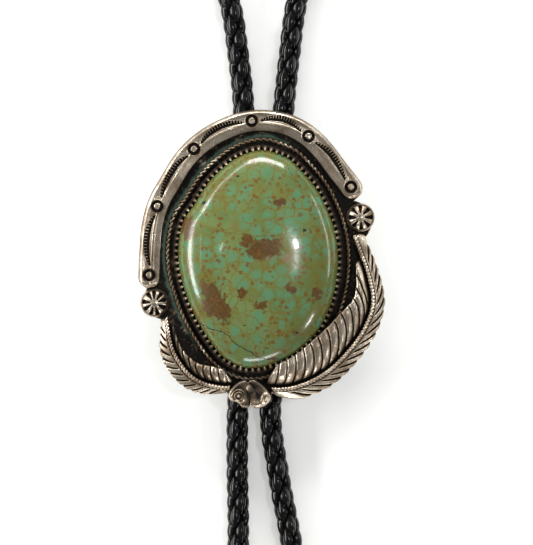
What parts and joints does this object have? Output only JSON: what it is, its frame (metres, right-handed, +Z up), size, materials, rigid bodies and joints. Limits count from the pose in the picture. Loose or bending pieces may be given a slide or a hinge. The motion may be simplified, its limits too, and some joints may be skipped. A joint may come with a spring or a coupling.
{
  "type": "bolo tie",
  "caption": "Silver bolo tie slide with an egg-shaped green turquoise, a stamped crescent bar, buttons and feathers, on a braided black leather cord with metal tips.",
  "frame": {"origin": "centre of the slide's box, on the surface that the tie lies on", "axes": "+Z up out of the stone's face, +Y along the slide towards the neck, +X to the viewer's right"},
  "size_m": [0.0526, 0.3148, 0.0164],
  "materials": {
    "silver": "tarnished hand-worked silver, polished on the high parts and dark in the recesses",
    "stone": "polished green turquoise with a brown matrix",
    "clip": "plain nickel-coloured metal",
    "cord": "glossy black braided leather",
    "tips": "plain satin silver-coloured metal"
  },
  "bodies": {
    "root": {"silver_slide": "silver", "turquoise": "stone", "cord_clip": "clip", "cord": "cord", "tip_left": "tips", "tip_right": "tips"}
  },
  "joints": []
}
